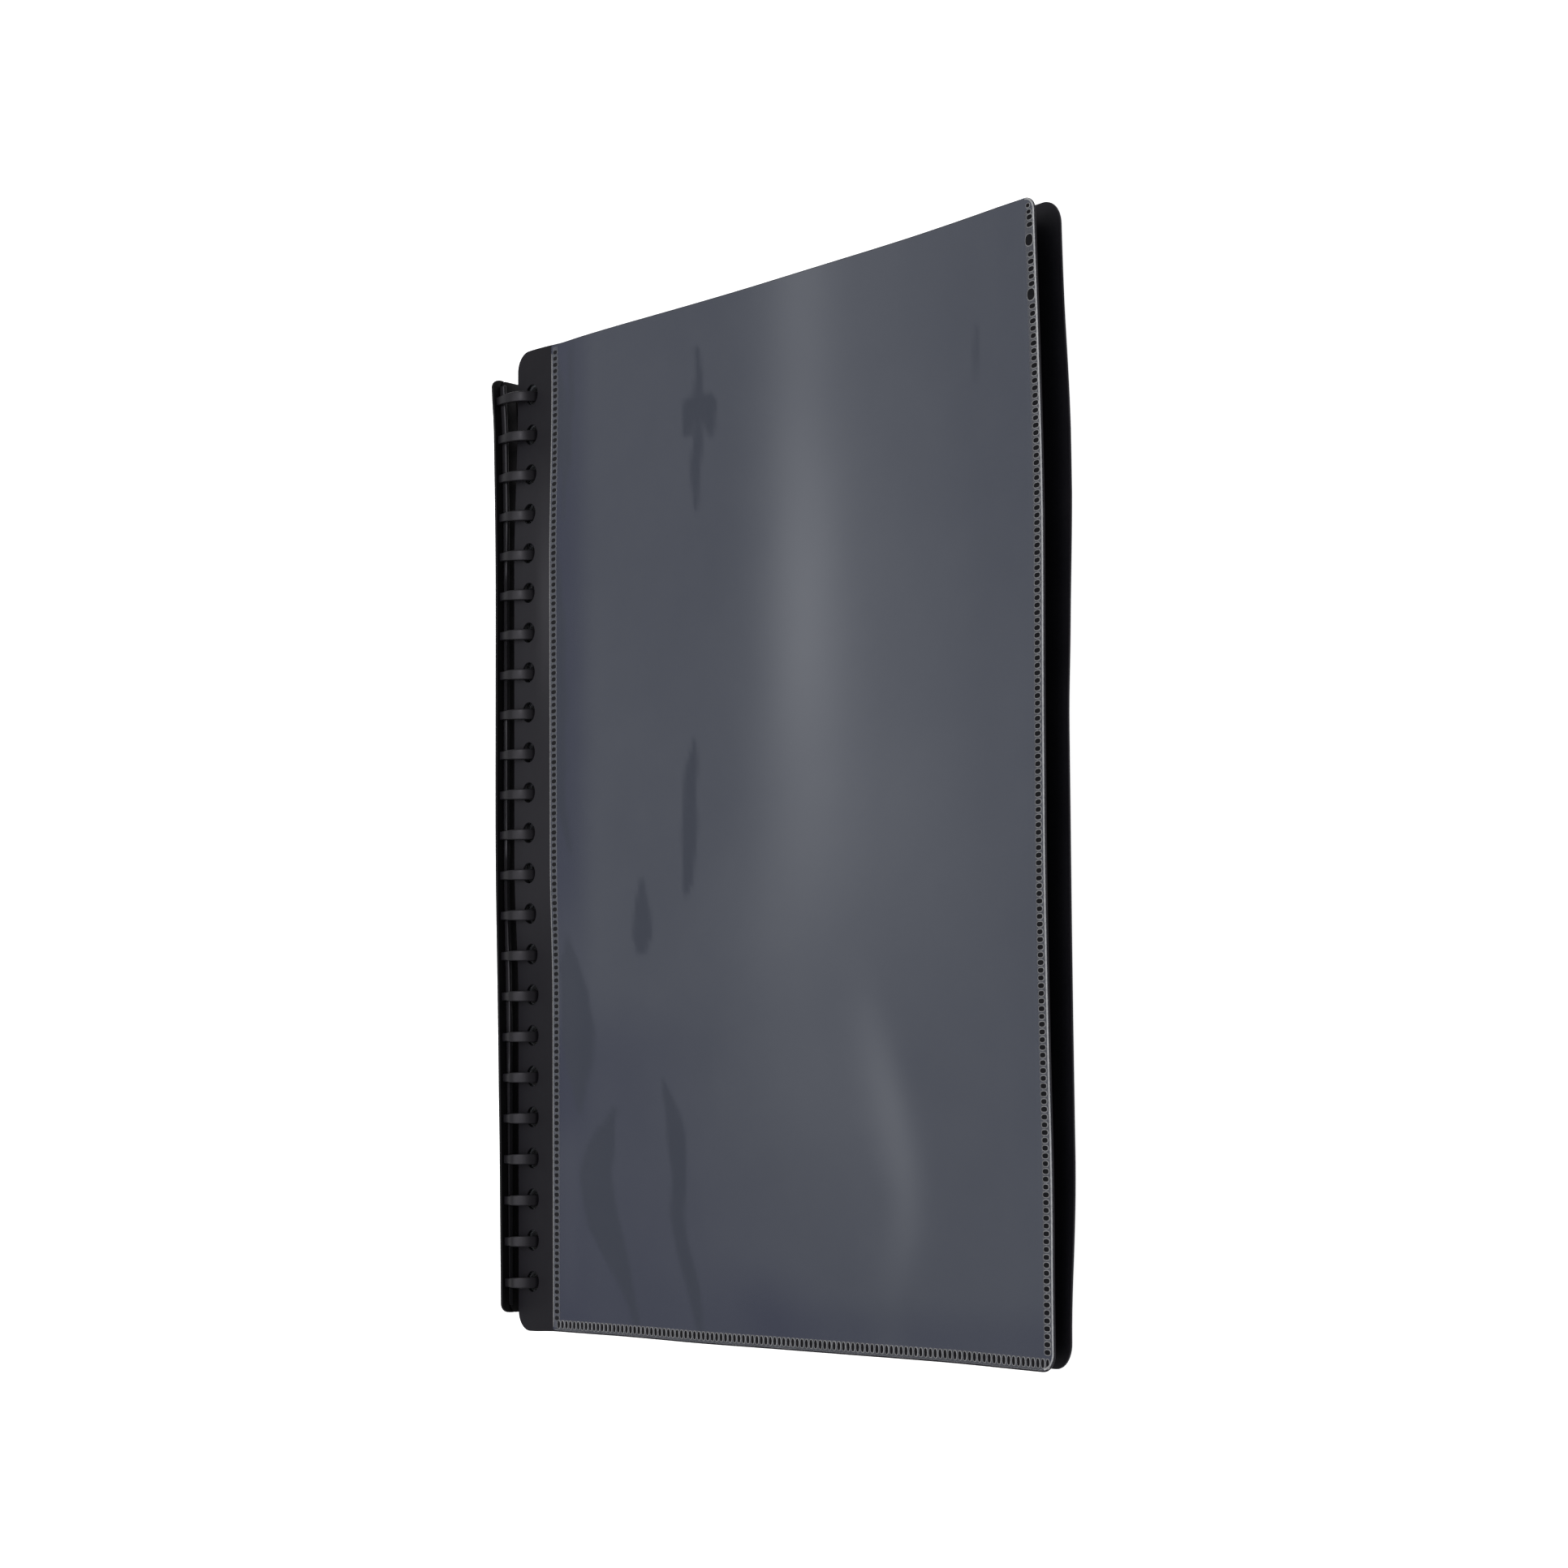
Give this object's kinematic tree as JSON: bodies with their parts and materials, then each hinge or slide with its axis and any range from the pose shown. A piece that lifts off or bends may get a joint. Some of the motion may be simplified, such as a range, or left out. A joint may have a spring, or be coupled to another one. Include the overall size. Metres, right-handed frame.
{
  "type": "refillable display book",
  "caption": "Black plastic display book with a multi-loop refillable spine, clear document pockets and a clear insert pocket welded to its front cover.",
  "frame": {"origin": "centre of the closed book's footprint, on the surface its back cover lies on", "axes": "+X from the spine to the fore-edge, +Y from the foot of the book to its head, +Z out of the front cover"},
  "size_m": [0.246, 0.309, 0.0154],
  "materials": {
    "cover_plastic": "fine matte grain, black polypropylene sheet",
    "spine_plastic": "satin moulded black plastic",
    "clear_overlay": "glossy clear film, slightly blue-grey over the black cover",
    "pocket_film": "clear polypropylene film with a fine matte emboss"
  },
  "bodies": {
    "back_cover": {"back_cover": "cover_plastic"},
    "spine": {"spine_back": "spine_plastic", "ring_comb": "spine_plastic"},
    "rail": {"locking_rail": "spine_plastic"},
    "front_cover": {"front_cover": "cover_plastic", "front_cover_overlay": "clear_overlay"},
    "pocket_01": {"pocket_01": "pocket_film"},
    "pocket_02": {"pocket_02": "pocket_film"},
    "pocket_03": {"pocket_03": "pocket_film"},
    "pocket_04": {"pocket_04": "pocket_film"},
    "pocket_05": {"pocket_05": "pocket_film"},
    "pocket_06": {"pocket_06": "pocket_film"},
    "pocket_07": {"pocket_07": "pocket_film"},
    "pocket_08": {"pocket_08": "pocket_film"},
    "pocket_09": {"pocket_09": "pocket_film"},
    "pocket_10": {"pocket_10": "pocket_film"},
    "pocket_11": {"pocket_11": "pocket_film"},
    "pocket_12": {"pocket_12": "pocket_film"},
    "pocket_13": {"pocket_13": "pocket_film"},
    "pocket_14": {"pocket_14": "pocket_film"},
    "pocket_15": {"pocket_15": "pocket_film"},
    "pocket_16": {"pocket_16": "pocket_film"},
    "pocket_17": {"pocket_17": "pocket_film"},
    "pocket_18": {"pocket_18": "pocket_film"},
    "pocket_19": {"pocket_19": "pocket_film"},
    "pocket_20": {"pocket_20": "pocket_film"}
  },
  "joints": [
    {"name": "book_opening", "type": "hinge", "parent": "back_cover", "child": "spine", "pos_m": [-0.11634, 0, 0.00696], "axis": [0, -1, 0], "range_deg": [0, 90]},
    {"name": "front_cover_hinge", "type": "hinge", "parent": "spine", "child": "front_cover", "pos_m": [-0.11634, 0, 0.00844], "axis": [0, -1, 0], "range_deg": [0, 90]},
    {"name": "pocket_01_hinge", "type": "hinge", "parent": "spine", "child": "pocket_01", "pos_m": [-0.11406, 0, 0.00901], "axis": [0, -1, 0], "range_deg": [0, 81.44]},
    {"name": "pocket_02_hinge", "type": "hinge", "parent": "spine", "child": "pocket_02", "pos_m": [-0.114, 0, 0.00889], "axis": [0, -1, 0], "range_deg": [0, 72.87]},
    {"name": "pocket_03_hinge", "type": "hinge", "parent": "spine", "child": "pocket_03", "pos_m": [-0.11395, 0, 0.00878], "axis": [0, -1, 0], "range_deg": [0, 64.3]},
    {"name": "pocket_04_hinge", "type": "hinge", "parent": "spine", "child": "pocket_04", "pos_m": [-0.1139, 0, 0.00868], "axis": [0, -1, 0], "range_deg": [0, 55.72]},
    {"name": "pocket_05_hinge", "type": "hinge", "parent": "spine", "child": "pocket_05", "pos_m": [-0.11386, 0, 0.00858], "axis": [0, -1, 0], "range_deg": [0, 47.15]},
    {"name": "pocket_06_hinge", "type": "hinge", "parent": "spine", "child": "pocket_06", "pos_m": [-0.11383, 0, 0.00849], "axis": [0, -1, 0], "range_deg": [0, 38.58]},
    {"name": "pocket_07_hinge", "type": "hinge", "parent": "spine", "child": "pocket_07", "pos_m": [-0.1138, 0, 0.00843], "axis": [0, -1, 0], "range_deg": [0, 30.01]},
    {"name": "pocket_08_hinge", "type": "hinge", "parent": "spine", "child": "pocket_08", "pos_m": [-0.11378, 0, 0.00842], "axis": [0, -1, 0], "range_deg": [0, 21.44]},
    {"name": "pocket_09_hinge", "type": "hinge", "parent": "spine", "child": "pocket_09", "pos_m": [-0.11377, 0, 0.00856], "axis": [0, -1, 0], "range_deg": [0, 12.87]},
    {"name": "pocket_10_hinge", "type": "hinge", "parent": "spine", "child": "pocket_10", "pos_m": [-0.11376, 0, 0.00977], "axis": [0, -1, 0], "range_deg": [0, 4.3]},
    {"name": "pocket_11_hinge", "type": "hinge", "parent": "spine", "child": "pocket_11", "pos_m": [-0.11376, 0, 0.00563], "axis": [0, -1, 0], "range_deg": [-4.3, 0]},
    {"name": "pocket_12_hinge", "type": "hinge", "parent": "spine", "child": "pocket_12", "pos_m": [-0.11377, 0, 0.00684], "axis": [0, -1, 0], "range_deg": [-12.87, 0]},
    {"name": "pocket_13_hinge", "type": "hinge", "parent": "spine", "child": "pocket_13", "pos_m": [-0.11378, 0, 0.00698], "axis": [0, -1, 0], "range_deg": [-21.44, 0]},
    {"name": "pocket_14_hinge", "type": "hinge", "parent": "spine", "child": "pocket_14", "pos_m": [-0.1138, 0, 0.00697], "axis": [0, -1, 0], "range_deg": [-30.01, 0]},
    {"name": "pocket_15_hinge", "type": "hinge", "parent": "spine", "child": "pocket_15", "pos_m": [-0.11383, 0, 0.00691], "axis": [0, -1, 0], "range_deg": [-38.58, 0]},
    {"name": "pocket_16_hinge", "type": "hinge", "parent": "spine", "child": "pocket_16", "pos_m": [-0.11386, 0, 0.00682], "axis": [0, -1, 0], "range_deg": [-47.15, 0]},
    {"name": "pocket_17_hinge", "type": "hinge", "parent": "spine", "child": "pocket_17", "pos_m": [-0.1139, 0, 0.00673], "axis": [0, -1, 0], "range_deg": [-55.72, 0]},
    {"name": "pocket_18_hinge", "type": "hinge", "parent": "spine", "child": "pocket_18", "pos_m": [-0.11395, 0, 0.00662], "axis": [0, -1, 0], "range_deg": [-64.3, 0]},
    {"name": "pocket_19_hinge", "type": "hinge", "parent": "spine", "child": "pocket_19", "pos_m": [-0.114, 0, 0.00651], "axis": [0, -1, 0], "range_deg": [-72.87, 0]},
    {"name": "pocket_20_hinge", "type": "hinge", "parent": "spine", "child": "pocket_20", "pos_m": [-0.11406, 0, 0.00639], "axis": [0, -1, 0], "range_deg": [-81.44, 0]},
    {"name": "rail_slide", "type": "slide", "parent": "spine", "child": "rail", "axis": [0, 1, 0], "range_m": [0, 0.006]}
  ],
  "couplings": [
    {"joint": "front_cover_hinge", "follows": "book_opening", "ratio": 1},
    {"joint": "pocket_01_hinge", "follows": "book_opening", "ratio": 0.90476},
    {"joint": "pocket_02_hinge", "follows": "book_opening", "ratio": 0.80952},
    {"joint": "pocket_03_hinge", "follows": "book_opening", "ratio": 0.71429},
    {"joint": "pocket_04_hinge", "follows": "book_opening", "ratio": 0.61905},
    {"joint": "pocket_05_hinge", "follows": "book_opening", "ratio": 0.52381},
    {"joint": "pocket_06_hinge", "follows": "book_opening", "ratio": 0.42857},
    {"joint": "pocket_07_hinge", "follows": "book_opening", "ratio": 0.33333},
    {"joint": "pocket_08_hinge", "follows": "book_opening", "ratio": 0.2381},
    {"joint": "pocket_09_hinge", "follows": "book_opening", "ratio": 0.14286},
    {"joint": "pocket_10_hinge", "follows": "book_opening", "ratio": 0.047619},
    {"joint": "pocket_11_hinge", "follows": "book_opening", "ratio": -0.047619},
    {"joint": "pocket_12_hinge", "follows": "book_opening", "ratio": -0.14286},
    {"joint": "pocket_13_hinge", "follows": "book_opening", "ratio": -0.2381},
    {"joint": "pocket_14_hinge", "follows": "book_opening", "ratio": -0.33333},
    {"joint": "pocket_15_hinge", "follows": "book_opening", "ratio": -0.42857},
    {"joint": "pocket_16_hinge", "follows": "book_opening", "ratio": -0.52381},
    {"joint": "pocket_17_hinge", "follows": "book_opening", "ratio": -0.61905},
    {"joint": "pocket_18_hinge", "follows": "book_opening", "ratio": -0.71429},
    {"joint": "pocket_19_hinge", "follows": "book_opening", "ratio": -0.80952},
    {"joint": "pocket_20_hinge", "follows": "book_opening", "ratio": -0.90476}
  ]
}
